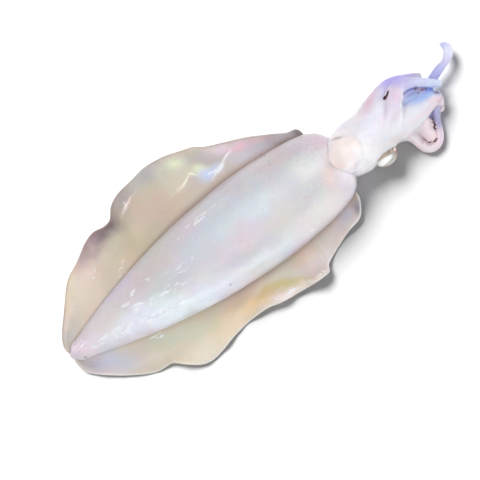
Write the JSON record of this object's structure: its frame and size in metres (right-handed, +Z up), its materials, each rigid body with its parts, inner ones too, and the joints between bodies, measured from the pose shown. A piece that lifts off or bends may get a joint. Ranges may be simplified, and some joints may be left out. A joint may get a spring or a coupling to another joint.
{
  "type": "whole raw squid",
  "caption": "Whole raw squid lying belly up: long tapered mantle, broad wavy fins spread flat on both sides, domed funnel, head with eyes and a bunch of short curled arms.",
  "frame": {"origin": "On the table under the middle of the squid's bounding box.", "axes": "+X runs along the mantle from the tail tip to the arms, +Y to the head's left side, +Z up from the table; the squid lies on its back, so +Z is its belly side."},
  "size_m": [0.3522, 0.1408, 0.0419],
  "materials": {
    "mantle_skin": "wet translucent muscle, pale lilac grey to bluish white with fine specks",
    "fin_skin": "wet translucent thin muscle, beige to grey green with a lighter rim",
    "arm_skin": "wet flesh, pinkish white at the head to lilac and blue at the arms",
    "funnel_skin": "wet smooth cream flesh",
    "eye": "wet silver and gold brown eyeball with a dark pupil"
  },
  "bodies": {
    "root": {"squid_body": "mantle_skin", "right_eye": "eye", "left_eye": "eye"}
  },
  "joints": []
}
